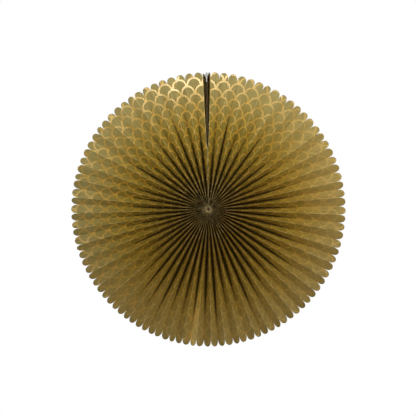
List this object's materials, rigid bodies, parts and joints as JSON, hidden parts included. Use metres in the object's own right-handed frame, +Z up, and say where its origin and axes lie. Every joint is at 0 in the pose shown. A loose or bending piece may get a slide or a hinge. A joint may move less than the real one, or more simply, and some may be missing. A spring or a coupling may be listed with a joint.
{
  "type": "paper fan medallion",
  "caption": "Round pleated paper medallion: a printed strip folded into radiating leaves with scalloped tips, gathered round a small hole and closed by a seam between stiff boards.",
  "frame": {"origin": "the middle of the disc, at half the depth of the pleats", "axes": "the disc stands upright in the XZ plane: +X to the viewer's right, +Y away from the printed front, +Z up, with the seam at the top"},
  "size_m": [0.3997, 0.0176, 0.3999],
  "materials": {
    "printed_paper": "matte olive paper with metallic gold printed lines",
    "board": "matte dark grey-brown card",
    "foam_tape": "matte foam",
    "thread": "matte cotton thread"
  },
  "bodies": {
    "root": {"pleated_sheet": "printed_paper", "right_end_board": "board", "left_end_board": "board", "seam_tape": "foam_tape", "binding_thread": "thread"}
  },
  "joints": []
}
